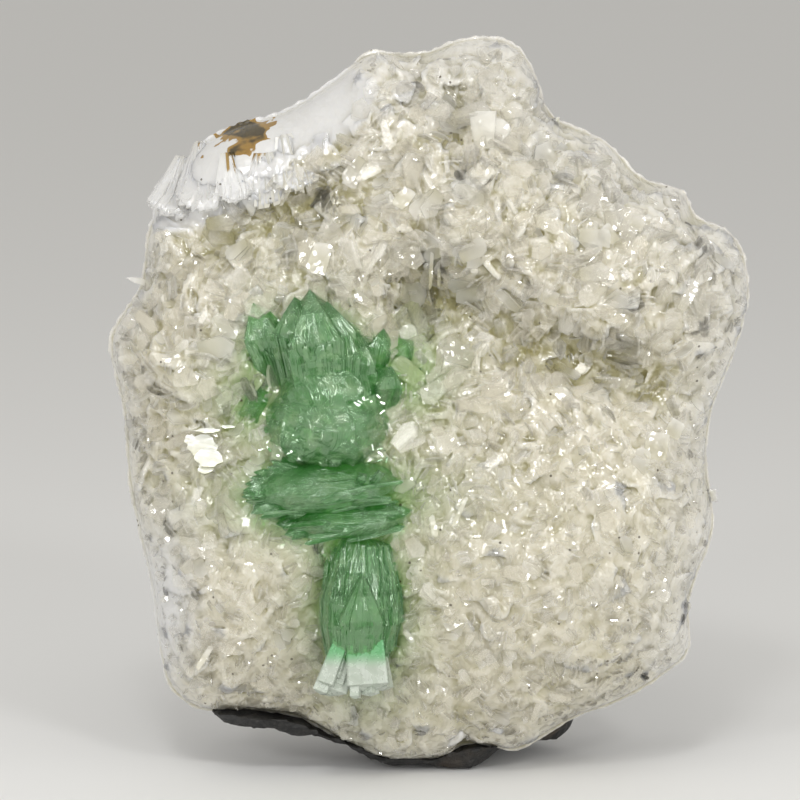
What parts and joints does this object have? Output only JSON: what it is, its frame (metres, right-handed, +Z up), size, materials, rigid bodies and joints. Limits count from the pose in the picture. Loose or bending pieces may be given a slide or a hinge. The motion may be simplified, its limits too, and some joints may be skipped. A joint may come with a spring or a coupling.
{
  "type": "mineral specimen",
  "caption": "Upright mineral specimen: green apophyllite crystals on a domed crust of cream stilbite blades, backed by dark basalt with a flat foot.",
  "frame": {"origin": "in the flat foot of the basalt, under the middle of the crust", "axes": "+Z up, -Y towards the side that carries the crystals, +X to the right seen from that side"},
  "size_m": [0.1087, 0.0542, 0.1233],
  "materials": {
    "apophyllite": "glassy green crystal, partly see-through",
    "stilbite": "pearly cream crystal blades, milky",
    "basalt": "matt dark rock, fractured"
  },
  "bodies": {
    "root": {"apophyllite_crown": "apophyllite", "apophyllite_disc": "apophyllite", "apophyllite_sheaf": "apophyllite", "apophyllite_right_satellite": "apophyllite", "apophyllite_left_satellite": "apophyllite", "stilbite_crust": "stilbite", "basalt_matrix": "basalt"}
  },
  "joints": []
}
